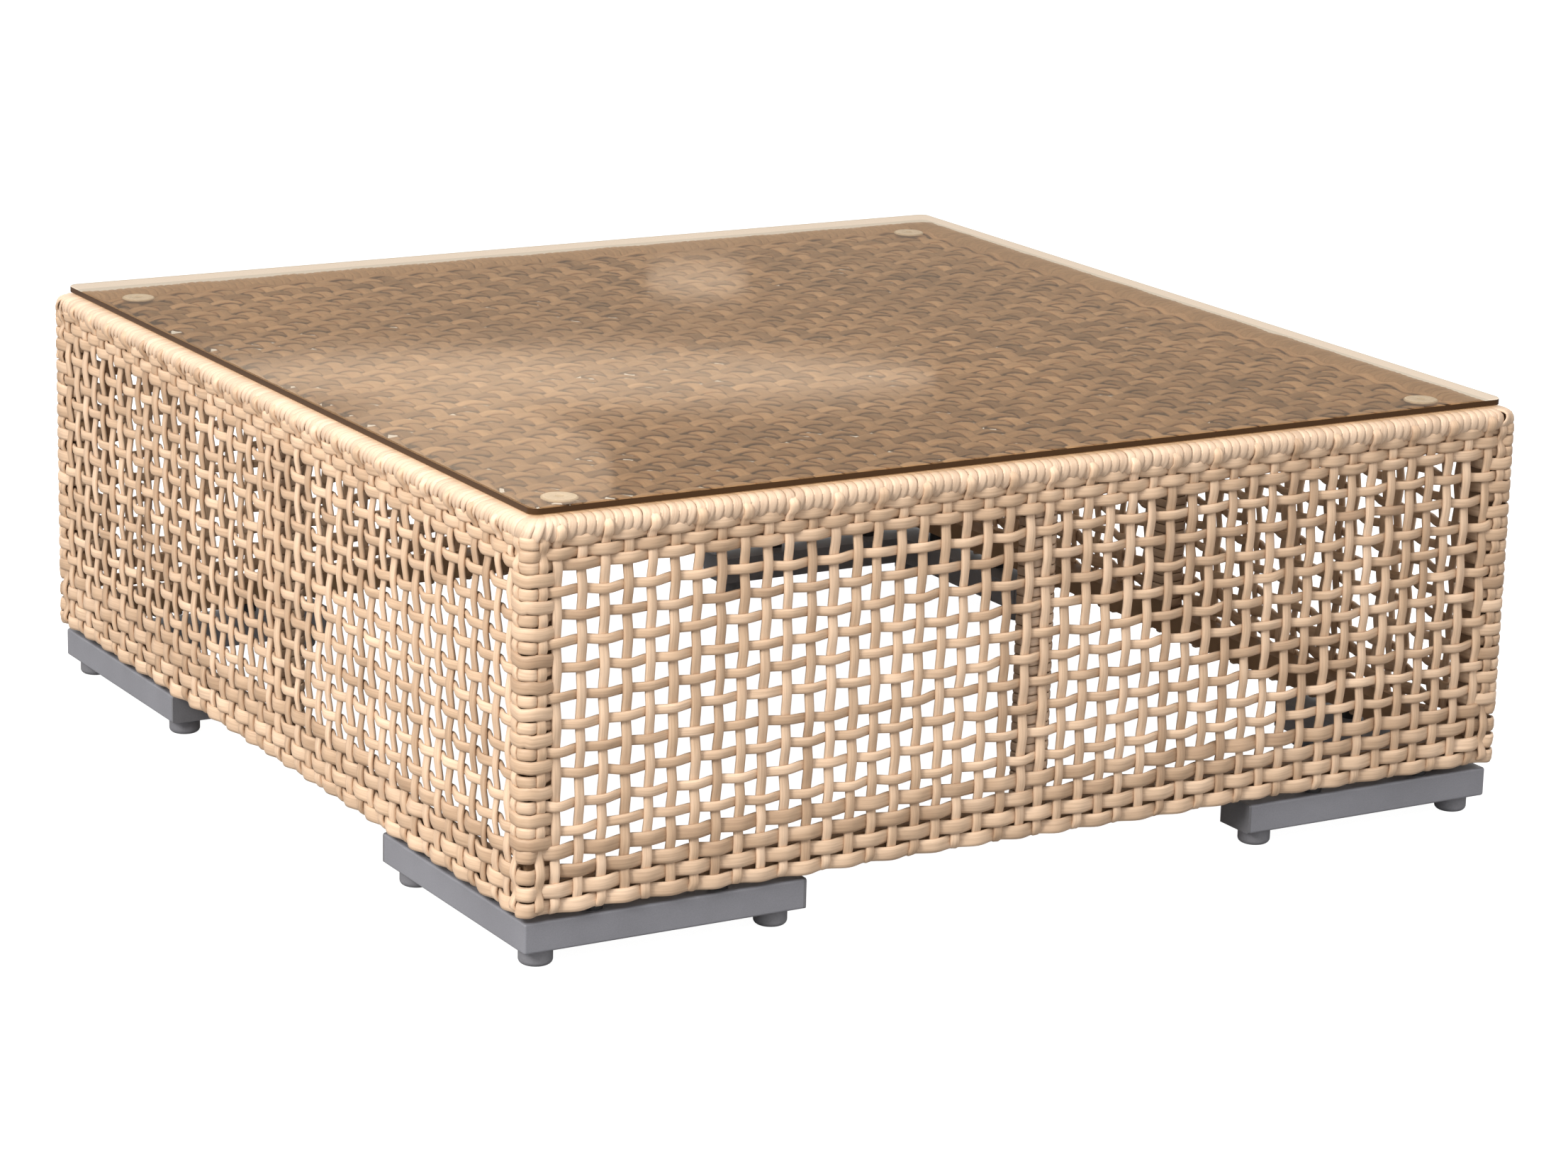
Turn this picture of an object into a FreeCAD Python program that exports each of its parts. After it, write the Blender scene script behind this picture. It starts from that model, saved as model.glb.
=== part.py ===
import FreeCAD, Part
import os
import Sketcher

# Square coffee table with a woven resin-wicker body on a welded tube frame, a loose glass top on
# four clear bumpers, and four L-shaped metal feet that stand on screw-in levellers.
# Millimetres. The origin is on the floor under the table's centre, +Z is up, the front is -Y and
# the left is -X. Everything is worked out from the sheet "sizes"; heights stack up from the floor.

SIZES = [
    ("body_side", 900, "outside of the woven body, each way"),
    ("body_height", 298, "woven body, lower edge to rim"),
    ("weave_thickness", 10, "woven skin outside the frame"),
    ("wrap_thickness", 5, "strand wound over the top and bottom rails"),
    ("corner_radius", 14, "rounded upright corner of the body"),
    ("rim_radius", 12, "rounded outer edge of the rim"),
    ("corner_wrap_overlap", 2, "close winding at a corner, past the post"),
    ("deck_thickness", 8, "woven deck under the glass"),
    ("tube_side", 20, "square frame tube"),
    ("tube_wall", 1.5, "frame tube wall"),
    ("deck_bar_spacing", 300, "between the centres of the two deck bars"),
    ("glass_inset", 11.5, "body edge to glass edge"),
    ("glass_thickness", 6, "tempered glass"),
    ("glass_corner_radius", 8, "rounded corner of the glass"),
    ("glass_edge_chamfer", 0.8, "ground edge of the glass"),
    ("bumper_diameter", 28, "clear bumper under the glass"),
    ("bumper_thickness", 2, "clear bumper under the glass"),
    ("bumper_inset", 46.5, "glass edge to bumper centre"),
    ("foot_inset", 7.5, "body edge to the foot's outer face"),
    ("foot_gap", 4, "dark gap between foot and woven body"),
    ("foot_width", 38, "foot tube, seen from above"),
    ("foot_height", 24, "foot tube"),
    ("foot_wall", 2, "foot tube wall"),
    ("foot_length", 238, "one arm of a foot, from the corner"),
    ("foot_edge_radius", 2, "rounded long edges of the foot tube"),
    ("cap_thickness", 2.5, "flange of an end cap"),
    ("cap_plug_length", 8, "part of an end cap inside the tube"),
    ("cap_clearance", 0.2, "end cap plug to tube wall"),
    ("leveller_diameter", 26, "leveller pad"),
    ("leveller_height", 13, "leveller pad"),
    ("leveller_rounding", 4, "rounded lower edge of the pad"),
    ("leveller_end_inset", 20, "arm end to leveller centre"),
    ("stud_diameter", 8, "leveller's threaded stud"),
    ("stud_length", 20, "leveller's threaded stud, above the pad"),
    ("nut_diameter", 11, "rivet nut body"),
    ("nut_length", 11, "rivet nut body, above the flange"),
    ("nut_flange_diameter", 15, "rivet nut flange"),
    ("nut_flange_thickness", 1, "rivet nut flange"),
    ("screw_diameter", 6, "foot screw shank"),
    ("screw_reach", 18.5, "foot screw shank, above the head"),
    ("head_diameter", 12, "foot screw head"),
    ("head_height", 4, "foot screw head"),
    ("spacer_diameter", 16, "spacer between foot and bottom rail"),
    ("weld_nut_diameter", 12, "nut inside the bottom rail"),
    ("weld_nut_height", 7, "nut inside the bottom rail"),
    ("screw_near", 62, "corner to the first foot screw"),
    ("screw_far", 168, "corner to the second foot screw"),
    ("access_diameter", 14, "hole under each foot screw for the driver"),
    ("fit_clearance", 0.05, "radial play of threads and press-in parts"),
    ("hole_clearance", 0.2, "radial play of through holes"),
]

doc = FreeCAD.newDocument("wicker_coffee_table")
sheet = doc.addObject("Spreadsheet::Sheet", "sizes")
for row, (alias, value, meaning) in enumerate(SIZES, start=1):
    sheet.set(f"A{row}", meaning)
    sheet.set(f"B{row}", str(value))
    sheet.setAlias(f"B{row}", alias)
doc.recompute()

# Heights, from the floor up.
FOOT_BOTTOM = "(sizes.leveller_height + sizes.nut_flange_thickness)"
FOOT_TOP = f"({FOOT_BOTTOM} + sizes.foot_height)"
BODY_BOTTOM = f"({FOOT_TOP} + sizes.foot_gap)"
LOW_RAIL_BOTTOM = f"({BODY_BOTTOM} + sizes.wrap_thickness)"
LOW_RAIL_TOP = f"({LOW_RAIL_BOTTOM} + sizes.tube_side)"
RIM_TOP = f"({BODY_BOTTOM} + sizes.body_height)"
TOP_RAIL_TOP = f"({RIM_TOP} - sizes.wrap_thickness)"
TOP_RAIL_BOTTOM = f"({TOP_RAIL_TOP} - sizes.tube_side)"
DECK_BOTTOM = f"({RIM_TOP} - sizes.deck_thickness)"
GLASS_BOTTOM = f"({RIM_TOP} + sizes.bumper_thickness)"

# Distances from the table's centre, the same along X and Y.
BODY_OUT = "(sizes.body_side / 2)"
FRAME_OUT = f"({BODY_OUT} - sizes.weave_thickness)"
FRAME_IN = f"({FRAME_OUT} - sizes.tube_side)"
RAIL_MIDDLE = f"({FRAME_OUT} - sizes.tube_side / 2)"
CORNER_WRAP_END = f"({FRAME_IN} - sizes.corner_wrap_overlap)"
GLASS_OUT = f"({BODY_OUT} - sizes.glass_inset)"
FOOT_OUT = f"({BODY_OUT} - sizes.foot_inset)"
FOOT_IN = f"({FOOT_OUT} - sizes.foot_width)"
FOOT_MIDDLE = f"({FOOT_OUT} - sizes.foot_width / 2)"
FOOT_END = f"({FOOT_OUT} - sizes.foot_length)"
TUBE_END = f"({FOOT_END} + sizes.cap_thickness)"
LEVELLER_END = f"({FOOT_END} + sizes.leveller_end_inset)"
SCREW_NEAR = f"({FOOT_OUT} - sizes.screw_near)"
SCREW_FAR = f"({FOOT_OUT} - sizes.screw_far)"
SCREW_HOLE_RADIUS = "(sizes.screw_diameter / 2 + sizes.hole_clearance)"

# A quarter turn apart, seen from above: sides start at the front, corners at the front left.
SIDES = ["front", "right", "back", "left"]
CORNERS = ["front_left", "front_right", "back_right", "back_left"]

nodes = []


def number(expression):
    """The present value of an expression of the sheet."""
    return float(sheet.evalExpression(expression))


def quarter_turn(count):
    return FreeCAD.Rotation(FreeCAD.Vector(0, 0, 1), 90 * count)


def new_body(label, turns=0, height="0"):
    """A node: a PartDesign body turned about the table's centre and lifted to a height."""
    body = doc.addObject("PartDesign::Body", label)
    body.Label = label
    body.Placement = FreeCAD.Placement(FreeCAD.Vector(0, 0, 0), quarter_turn(turns))
    body.setExpression("Placement.Base.z", height)
    nodes.append(body)
    return body


def new_sketch(body, name, role, level="0"):
    """An empty sketch on one of the body's own origin planes, or at a level above it."""
    plane = next(f for f in body.Origin.OriginFeatures if f.Role == role)
    sketch = body.newObject("Sketcher::SketchObject", name)
    sketch.AttachmentSupport = [(plane, "")]
    sketch.MapMode = "FlatFace"
    sketch.setExpression("AttachmentOffset.Base.z", level)
    return sketch


def hold_point(sketch, line, which, across, along):
    """Holds one point of a sketch's line at two expressions, measured from the sketch's origin."""
    for kind, expression in (("DistanceX", across), ("DistanceY", along)):
        made = sketch.addConstraint(Sketcher.Constraint(kind, -1, 1, line, which, number(expression)))
        sketch.setExpression(f"Constraints[{made}]", expression)


def add_outline(sketch, corners):
    """A closed outline of straight lines, each corner held by a pair of expressions."""
    points = [FreeCAD.Vector(number(x), number(y), 0) for x, y in corners]
    first = sketch.GeometryCount
    count = len(points)
    for i in range(count):
        sketch.addGeometry(Part.LineSegment(points[i], points[(i + 1) % count]), False)
    for i in range(count):
        after = first + (i + 1) % count
        sketch.addConstraint(Sketcher.Constraint("Coincident", first + i, 2, after, 1))
    for i, (x, y) in enumerate(corners):
        hold_point(sketch, first + i, 1, x, y)


def add_rectangle(sketch, low_x, low_y, high_x, high_y):
    add_outline(sketch, [(low_x, low_y), (high_x, low_y), (high_x, high_y), (low_x, high_y)])


def add_circle(sketch, x, y, radius):
    """A circle held by expressions for its centre and radius."""
    centre = FreeCAD.Vector(number(x), number(y), 0)
    circle = sketch.addGeometry(Part.Circle(centre, FreeCAD.Vector(0, 0, 1), number(radius)), False)
    hold_point(sketch, circle, 3, x, y)
    made = sketch.addConstraint(Sketcher.Constraint("Radius", circle, number(radius)))
    sketch.setExpression(f"Constraints[{made}]", radius)


def add_pad(body, sketch, length, symmetric=False):
    pad = body.newObject("PartDesign::Pad", f"{body.Name}_pad")
    pad.Profile = sketch
    pad.setExpression("Length", length)
    pad.SideType = "Symmetric" if symmetric else "One side"
    body.Tip = pad
    doc.recompute()


def add_pocket(body, sketch, depth):
    """Cuts a sketch out of the body, upward from the sketch, and checks that it cut."""
    before = body.Shape.Volume
    pocket = body.newObject("PartDesign::Pocket", f"{body.Name}_pocket")
    pocket.Profile = sketch
    pocket.setExpression("Length", depth)
    pocket.Reversed = True
    body.Tip = pocket
    doc.recompute()
    if not body.Shape.Volume < before:
        raise RuntimeError(f"{body.Label}: a pocket cut nothing")


def edges_where(shape, wanted):
    """Names of the edges whose bounding box wanted(box) accepts."""
    return [f"Edge{i}" for i, edge in enumerate(shape.Edges, start=1) if wanted(edge.BoundBox)]


def near(a, b):
    return abs(a - b) < 1e-3


def upright(box):
    return near(box.XLength, 0) and near(box.YLength, 0)


def add_fillet(body, wanted, radius):
    """Rounds the edges of the present tip that wanted accepts."""
    base = body.Tip
    fillet = body.newObject("PartDesign::Fillet", f"{body.Name}_fillet")
    fillet.Base = (base, edges_where(base.Shape, wanted))
    fillet.setExpression("Radius", radius)
    body.Tip = fillet
    doc.recompute()


def add_chamfer(body, wanted, size):
    """Bevels the edges of the present tip that wanted accepts."""
    base = body.Tip
    chamfer = body.newObject("PartDesign::Chamfer", f"{body.Name}_chamfer")
    chamfer.Base = (base, edges_where(base.Shape, wanted))
    chamfer.setExpression("Size", size)
    body.Tip = chamfer
    doc.recompute()


# The welded frame of square tube.

def make_tube_along_x(label, turns, height, out, inner, length):
    """A rail between two distances in front of the centre, its middle on the Y axis."""
    body = new_body(label, turns, height)
    sketch = new_sketch(body, f"{label}_section", "YZ_Plane")
    wall = "sizes.tube_wall"
    add_rectangle(sketch, f"-{out}", "0", f"-{inner}", "sizes.tube_side")
    add_rectangle(sketch, f"-{out} + {wall}", wall, f"-{inner} - {wall}", f"sizes.tube_side - {wall}")
    add_pad(body, sketch, length, symmetric=True)
    return body


def make_upright_tube(label, turns, height, low_x, length):
    """A post behind the front skin, from low_x one tube side to the right."""
    body = new_body(label, turns, height)
    sketch = new_sketch(body, f"{label}_section", "XY_Plane")
    wall = "sizes.tube_wall"
    high_x = f"{low_x} + sizes.tube_side"
    add_rectangle(sketch, low_x, f"-{FRAME_OUT}", high_x, f"-{FRAME_IN}")
    add_rectangle(sketch, f"{low_x} + {wall}", f"-{FRAME_OUT} + {wall}",
                  f"{high_x} - {wall}", f"-{FRAME_IN} - {wall}")
    add_pad(body, sketch, length)


def make_rails():
    """The front and back rails run from corner to corner, and the side rails fit between them."""
    for turns, side in enumerate(SIDES):
        length = f"2 * {FRAME_IN}" if side in ("left", "right") else f"2 * {FRAME_OUT}"
        make_tube_along_x(f"top_rail_{side}", turns, TOP_RAIL_BOTTOM, FRAME_OUT, FRAME_IN, length)
        rail = make_tube_along_x(f"bottom_rail_{side}", turns, LOW_RAIL_BOTTOM, FRAME_OUT, FRAME_IN, length)
        holes = new_sketch(rail, f"bottom_rail_{side}_holes", "XY_Plane")
        for place in (SCREW_NEAR, SCREW_FAR):
            for x in (f"-{place}", place):
                add_circle(holes, x, f"-{RAIL_MIDDLE}", SCREW_HOLE_RADIUS)
        add_pocket(rail, holes, "sizes.tube_wall")


def make_posts():
    length = f"{TOP_RAIL_BOTTOM} - {LOW_RAIL_TOP}"
    for turns, corner in enumerate(CORNERS):
        make_upright_tube(f"corner_post_{corner}", turns, LOW_RAIL_TOP, f"-{FRAME_OUT}", length)
    for turns, side in enumerate(SIDES):
        make_upright_tube(f"mid_post_{side}", turns, LOW_RAIL_TOP, "-sizes.tube_side / 2", length)


def make_deck_bars():
    """Two bars between the side rails, under the woven deck."""
    out = "(sizes.deck_bar_spacing / 2 + sizes.tube_side / 2)"
    inner = "(sizes.deck_bar_spacing / 2 - sizes.tube_side / 2)"
    for label, turns in (("deck_bar_front", 0), ("deck_bar_back", 2)):
        make_tube_along_x(label, turns, f"{DECK_BOTTOM} - sizes.tube_side", out, inner, f"2 * {FRAME_IN}")


# The woven skin, as closed solids of its outer shape.

def make_side_weaves():
    for turns, side in enumerate(SIDES):
        body = new_body(f"side_weave_{side}", turns, BODY_BOTTOM)
        sketch = new_sketch(body, f"side_weave_{side}_outline", "XY_Plane")
        add_rectangle(sketch, f"-{CORNER_WRAP_END}", f"-{BODY_OUT}", CORNER_WRAP_END, f"-{FRAME_OUT}")
        add_pad(body, sketch, f"{TOP_RAIL_BOTTOM} - {BODY_BOTTOM}")


def make_corner_wraps():
    """The close winding round each corner post, an angle with a rounded outer edge."""
    for turns, corner in enumerate(CORNERS):
        body = new_body(f"corner_wrap_{corner}", turns, BODY_BOTTOM)
        sketch = new_sketch(body, f"corner_wrap_{corner}_outline", "XY_Plane")
        out, skin, end = f"-{BODY_OUT}", f"-{FRAME_OUT}", f"-{CORNER_WRAP_END}"
        add_outline(sketch, [(out, out), (end, out), (end, skin), (skin, skin), (skin, end), (out, end)])
        add_pad(body, sketch, f"{TOP_RAIL_BOTTOM} - {BODY_BOTTOM}")
        edge = -number(BODY_OUT)
        add_fillet(body, lambda box: upright(box) and near(box.XMin, edge) and near(box.YMin, edge),
                   "sizes.corner_radius")


def make_rim_wraps():
    """The winding over the top rails: a rounded ring, cut on the diagonals into one piece a side."""
    for turns, side in enumerate(SIDES):
        label = f"rim_wrap_{side}"
        body = new_body(label, turns, TOP_RAIL_BOTTOM)
        outline = new_sketch(body, f"{label}_outline", "XY_Plane")
        add_rectangle(outline, f"-{BODY_OUT}", f"-{BODY_OUT}", BODY_OUT, BODY_OUT)
        add_pad(body, outline, f"{RIM_TOP} - {TOP_RAIL_BOTTOM}")
        add_fillet(body, upright, "sizes.corner_radius")
        top = number(f"{RIM_TOP} - {TOP_RAIL_BOTTOM}")
        add_fillet(body, lambda box: near(box.ZMin, top), "sizes.rim_radius")
        channel = new_sketch(body, f"{label}_channel", "XY_Plane")
        add_rectangle(channel, f"-{FRAME_OUT}", f"-{FRAME_OUT}", FRAME_OUT, FRAME_OUT)
        add_pocket(body, channel, "sizes.tube_side")
        middle = new_sketch(body, f"{label}_middle", "XY_Plane")
        add_rectangle(middle, f"-{FRAME_IN}", f"-{FRAME_IN}", FRAME_IN, FRAME_IN)
        add_pocket(body, middle, f"{RIM_TOP} - {TOP_RAIL_BOTTOM}")
        others = new_sketch(body, f"{label}_other_sides", "XY_Plane")
        far = "sizes.body_side"
        add_outline(others, [("0", "0"), (far, f"-{far}"), (far, far), (f"-{far}", far), (f"-{far}", f"-{far}")])
        add_pocket(body, others, f"{RIM_TOP} - {TOP_RAIL_BOTTOM}")


def make_deck_weave():
    body = new_body("deck_weave", 0, DECK_BOTTOM)
    sketch = new_sketch(body, "deck_weave_outline", "XY_Plane")
    add_rectangle(sketch, f"-{FRAME_IN}", f"-{FRAME_IN}", FRAME_IN, FRAME_IN)
    add_pad(body, sketch, "sizes.deck_thickness")


# The glass top and what it rests on.

def make_glass():
    body = new_body("glass_top", 0, GLASS_BOTTOM)
    sketch = new_sketch(body, "glass_top_outline", "XY_Plane")
    add_rectangle(sketch, f"-{GLASS_OUT}", f"-{GLASS_OUT}", GLASS_OUT, GLASS_OUT)
    add_pad(body, sketch, "sizes.glass_thickness")
    add_fillet(body, upright, "sizes.glass_corner_radius")
    add_chamfer(body, lambda box: near(box.ZLength, 0), "sizes.glass_edge_chamfer")


def make_bumpers():
    body = new_body("glass_bumpers", 0, RIM_TOP)
    place = f"({GLASS_OUT} - sizes.bumper_inset)"
    points = all_corners([(f"-{place}", f"-{place}")])
    add_discs(body, "0", "sizes.bumper_thickness", points, "sizes.bumper_diameter / 2")


# The feet: two tubes a corner, their caps, nuts, screws and levellers.

def arms_of(turns):
    """The two arms of the foot at a corner: name, quarter turns, and which way the arm runs."""
    corner = CORNERS[turns]
    return [(f"{corner}_along_{SIDES[turns]}", "along_x"), (f"{corner}_along_{SIDES[turns - 1]}", "along_y")]


def oriented(direction, along, across):
    """A point of the front left foot, given along and across an arm, as x and y."""
    return (along, across) if direction == "along_x" else (across, along)


def make_foot_arm(name, turns, direction):
    """The arm along X closes the corner with its end wall, and the arm along Y butts against it."""
    label = f"foot_{name}"
    start = FOOT_OUT if direction == "along_x" else FOOT_IN
    cavity_start = f"-{start} + sizes.foot_wall" if direction == "along_x" else f"-{start}"
    body = new_body(label, turns, FOOT_BOTTOM)
    outline = new_sketch(body, f"{label}_outline", "XY_Plane")
    add_rectangle(outline, *oriented(direction, f"-{start}", f"-{FOOT_OUT}"),
                  *oriented(direction, f"-{TUBE_END}", f"-{FOOT_IN}"))
    add_pad(body, outline, "sizes.foot_height")
    out = -number(FOOT_OUT)
    low, high = 0, number("sizes.foot_height")

    def outer_edge(box):
        level = near(box.ZLength, 0) and (near(box.ZMin, low) or near(box.ZMin, high))
        on_outside = near(box.XMax, out) or near(box.YMax, out)
        corner = upright(box) and near(box.XMin, out) and near(box.YMin, out)
        return corner or (level and on_outside)

    add_fillet(body, outer_edge, "sizes.foot_edge_radius")
    cavity = new_sketch(body, f"{label}_cavity", "XY_Plane", "sizes.foot_wall")
    add_rectangle(cavity, *oriented(direction, cavity_start, f"-{FOOT_OUT} + sizes.foot_wall"),
                  *oriented(direction, f"-{TUBE_END}", f"-{FOOT_IN} - sizes.foot_wall"))
    add_pocket(body, cavity, "sizes.foot_height - 2 * sizes.foot_wall")
    screws = [oriented(direction, f"-{x}", f"-{RAIL_MIDDLE}") for x in (SCREW_NEAR, SCREW_FAR)]
    below = new_sketch(body, f"{label}_bottom_holes", "XY_Plane")
    for point in leveller_points(direction).values():
        add_circle(below, *point, "sizes.nut_diameter / 2 + sizes.fit_clearance")
    for point in screws:
        add_circle(below, *point, "sizes.access_diameter / 2")
    add_pocket(body, below, "sizes.foot_wall")
    above = new_sketch(body, f"{label}_top_holes", "XY_Plane", "sizes.foot_height - sizes.foot_wall")
    for point in screws:
        add_circle(above, *point, SCREW_HOLE_RADIUS)
    add_pocket(body, above, "sizes.foot_wall")


def leveller_points(direction):
    """Where the levellers of one arm stand, on the front left foot."""
    points = {"end": oriented(direction, f"-{LEVELLER_END}", f"-{FOOT_MIDDLE}")}
    if direction == "along_x":
        points["corner"] = (f"-{FOOT_MIDDLE}", f"-{FOOT_MIDDLE}")
    return points


def make_leveller(label, turns, point):
    """A round pad with a rounded lower edge, moulded on a threaded stud."""
    body = new_body(label, turns)
    disc = new_sketch(body, f"{label}_pad_outline", "XY_Plane")
    add_circle(disc, *point, "sizes.leveller_diameter / 2")
    add_pad(body, disc, "sizes.leveller_height")
    add_fillet(body, lambda box: near(box.ZMax, 0), "sizes.leveller_rounding")
    stud = new_sketch(body, f"{label}_stud_outline", "XY_Plane", "sizes.leveller_height")
    add_circle(stud, *point, "sizes.stud_diameter / 2")
    add_pad(body, stud, "sizes.stud_length")


def make_feet():
    for turns, corner in enumerate(CORNERS):
        for name, direction in arms_of(turns):
            make_foot_arm(name, turns, direction)
            for place, point in leveller_points(direction).items():
                label = f"leveller_{corner}_corner" if place == "corner" else f"leveller_{name}"
                make_leveller(label, turns, point)


def all_corners(points):
    """Points of the front left corner, repeated at the other three a quarter turn apart."""
    everywhere = []
    for x, y in points:
        everywhere += [(x, y), (f"-({y})", x), (f"-({x})", f"-({y})"), (y, f"-({x})")]
    return everywhere


def add_discs(body, level, height, points, radius, bore=None):
    """Separate round discs of one body, or rings where a bore radius is given."""
    body.AllowCompound = True
    sketch = new_sketch(body, f"{body.Name}_discs", "XY_Plane", level)
    for x, y in points:
        add_circle(sketch, x, y, radius)
        if bore:
            add_circle(sketch, x, y, bore)
    add_pad(body, sketch, height)


def screw_points():
    return all_corners([oriented(direction, f"-{x}", f"-{RAIL_MIDDLE}")
                        for direction in ("along_x", "along_y") for x in (SCREW_NEAR, SCREW_FAR)])


def make_foot_hardware():
    """Screws from inside each foot through a spacer into a nut in the bottom rail, and rivet nuts."""
    spacers = new_body("foot_spacers", 0, FOOT_TOP)
    add_discs(spacers, "0", f"{LOW_RAIL_BOTTOM} - {FOOT_TOP}", screw_points(),
              "sizes.spacer_diameter / 2", SCREW_HOLE_RADIUS)
    weld_nuts = new_body("rail_weld_nuts", 0, f"{LOW_RAIL_BOTTOM} + sizes.tube_wall")
    add_discs(weld_nuts, "0", "sizes.weld_nut_height", screw_points(),
              "sizes.weld_nut_diameter / 2", "sizes.screw_diameter / 2 + sizes.fit_clearance")
    screws = new_body("foot_screws", 0, f"{FOOT_TOP} - sizes.foot_wall - sizes.head_height")
    add_discs(screws, "0", "sizes.head_height", screw_points(), "sizes.head_diameter / 2")
    add_discs(screws, "sizes.head_height", "sizes.screw_reach", screw_points(), "sizes.screw_diameter / 2")
    rivet_nuts = new_body("foot_rivet_nuts", 0, "sizes.leveller_height")
    places = all_corners([point for direction in ("along_x", "along_y")
                          for point in leveller_points(direction).values()])
    bore = "sizes.stud_diameter / 2 + sizes.fit_clearance"
    add_discs(rivet_nuts, "0", "sizes.nut_flange_thickness", places, "sizes.nut_flange_diameter / 2", bore)
    add_discs(rivet_nuts, "sizes.nut_flange_thickness", "sizes.nut_length", places,
              "sizes.nut_diameter / 2", bore)


def add_blocks(body, name, level, height, low, high):
    """One block on each of the eight arms, given by its corners along and across an arm."""
    sketch = new_sketch(body, name, "XY_Plane", level)
    for direction in ("along_x", "along_y"):
        lows = all_corners([oriented(direction, *low)])
        highs = all_corners([oriented(direction, *high)])
        for first, second in zip(lows, highs):
            add_rectangle(sketch, *first, *second)
    add_pad(body, sketch, height)


def make_end_caps():
    """A flange flush with the tube and a plug inside it, at the open end of every arm."""
    body = new_body("foot_end_caps", 0, FOOT_BOTTOM)
    body.AllowCompound = True
    inset = "sizes.foot_wall + sizes.cap_clearance"
    add_blocks(body, "foot_end_caps_flanges", "0", "sizes.foot_height",
               (f"-{TUBE_END}", f"-{FOOT_OUT}"), (f"-{FOOT_END}", f"-{FOOT_IN}"))
    out = number(FOOT_OUT)
    add_fillet(body, lambda box: near(box.ZLength, 0) and any(
        near(abs(low), out) and near(low, high)
        for low, high in ((box.XMin, box.XMax), (box.YMin, box.YMax))), "sizes.foot_edge_radius")
    add_blocks(body, "foot_end_caps_plugs", inset, f"sizes.foot_height - 2 * ({inset})",
               (f"-{TUBE_END} - sizes.cap_plug_length", f"-{FOOT_OUT} + {inset}"),
               (f"-{TUBE_END}", f"-{FOOT_IN} - ({inset})"))


def check_and_write():
    """Stops on any failed object or bad shape, then writes one file for each node."""
    doc.recompute()
    failed = [o.Name for o in doc.Objects if "Invalid" in o.State or "Error" in o.State]
    if failed:
        raise RuntimeError(f"failed objects: {failed}")
    for node in nodes:
        if node.Shape.isNull() or not node.Shape.isValid():
            raise RuntimeError(f"{node.Label}: bad shape")
    os.makedirs("parts", exist_ok=True)
    for node in nodes:
        node.Shape.exportStep(f"parts/{node.Label}.step")
        print(f"{node.Label}: {len(node.Shape.Solids)} solid(s), {node.Shape.Volume / 1000:.1f} cm3")


make_rails()
make_posts()
make_deck_bars()
make_side_weaves()
make_corner_wraps()
make_rim_wraps()
make_deck_weave()
make_glass()
make_bumpers()
make_feet()
make_foot_hardware()
make_end_caps()
check_and_write()
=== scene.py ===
import math

import bpy
import numpy as np
from mathutils import Matrix, Vector


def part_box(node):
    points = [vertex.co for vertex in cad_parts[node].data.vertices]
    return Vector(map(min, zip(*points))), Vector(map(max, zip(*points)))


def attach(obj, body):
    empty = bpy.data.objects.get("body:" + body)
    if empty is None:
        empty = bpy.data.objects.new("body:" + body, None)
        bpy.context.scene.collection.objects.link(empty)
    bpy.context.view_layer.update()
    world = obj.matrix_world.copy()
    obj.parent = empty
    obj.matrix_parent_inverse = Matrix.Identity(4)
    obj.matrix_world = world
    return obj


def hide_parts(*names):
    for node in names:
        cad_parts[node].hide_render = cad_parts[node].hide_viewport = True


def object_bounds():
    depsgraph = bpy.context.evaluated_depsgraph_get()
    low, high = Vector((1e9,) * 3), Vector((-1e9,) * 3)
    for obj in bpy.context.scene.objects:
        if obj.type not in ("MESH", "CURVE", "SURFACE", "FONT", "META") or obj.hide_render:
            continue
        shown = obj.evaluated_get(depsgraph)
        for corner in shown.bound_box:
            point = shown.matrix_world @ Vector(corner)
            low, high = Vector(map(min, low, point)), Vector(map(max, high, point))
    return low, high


# A square wicker coffee table: open weave on four sides, a woven deck under a
# bronze glass top, and L-shaped metal feet on screw levellers.
# All lengths are in metres. +Z is up and the front side faces -Y.

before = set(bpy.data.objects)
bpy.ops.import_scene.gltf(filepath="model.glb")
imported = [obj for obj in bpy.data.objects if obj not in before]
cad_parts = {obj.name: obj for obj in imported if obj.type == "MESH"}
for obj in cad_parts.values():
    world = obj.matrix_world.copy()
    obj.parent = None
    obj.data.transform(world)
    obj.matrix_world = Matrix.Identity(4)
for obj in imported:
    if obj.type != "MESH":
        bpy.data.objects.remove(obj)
cad_low, cad_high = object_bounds()

# ---------------------------------------------------------------- places taken from the frame

SIDE_NAMES = ("front", "right", "back", "left")
CORNER_NAMES = ("front_right", "back_right", "back_left", "front_left")

skin_low, skin_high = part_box("side_weave_front")
wrap_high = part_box("corner_wrap_front_right")[1]
rail_low, rail_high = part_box("top_rail_front")
post_low, post_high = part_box("mid_post_front")
deck_low, deck_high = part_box("deck_weave")
bumper_low, bumper_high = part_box("glass_bumpers")

SKIN_OUT = -skin_low.y
SKIN_IN = -skin_high.y
SKIN_MIDDLE = (SKIN_OUT + SKIN_IN) / 2
SKIN_BOTTOM = skin_low.z
FRAME_OUT = -rail_low.y
FRAME_IN = -rail_high.y
RAIL_BOTTOM = rail_low.z
RAIL_TOP = rail_high.z
POST_HALF = (post_high.x - post_low.x) / 2
DECK_MIDDLE = (deck_low.z + deck_high.z) / 2

# ---------------------------------------------------------------- the weave's sizes

# Each strand is a tube with eight sides. A smaller squareness gives squarer shoulders.
SECTION_SIDES = 8
SQUARENESS = 0.72

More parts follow.
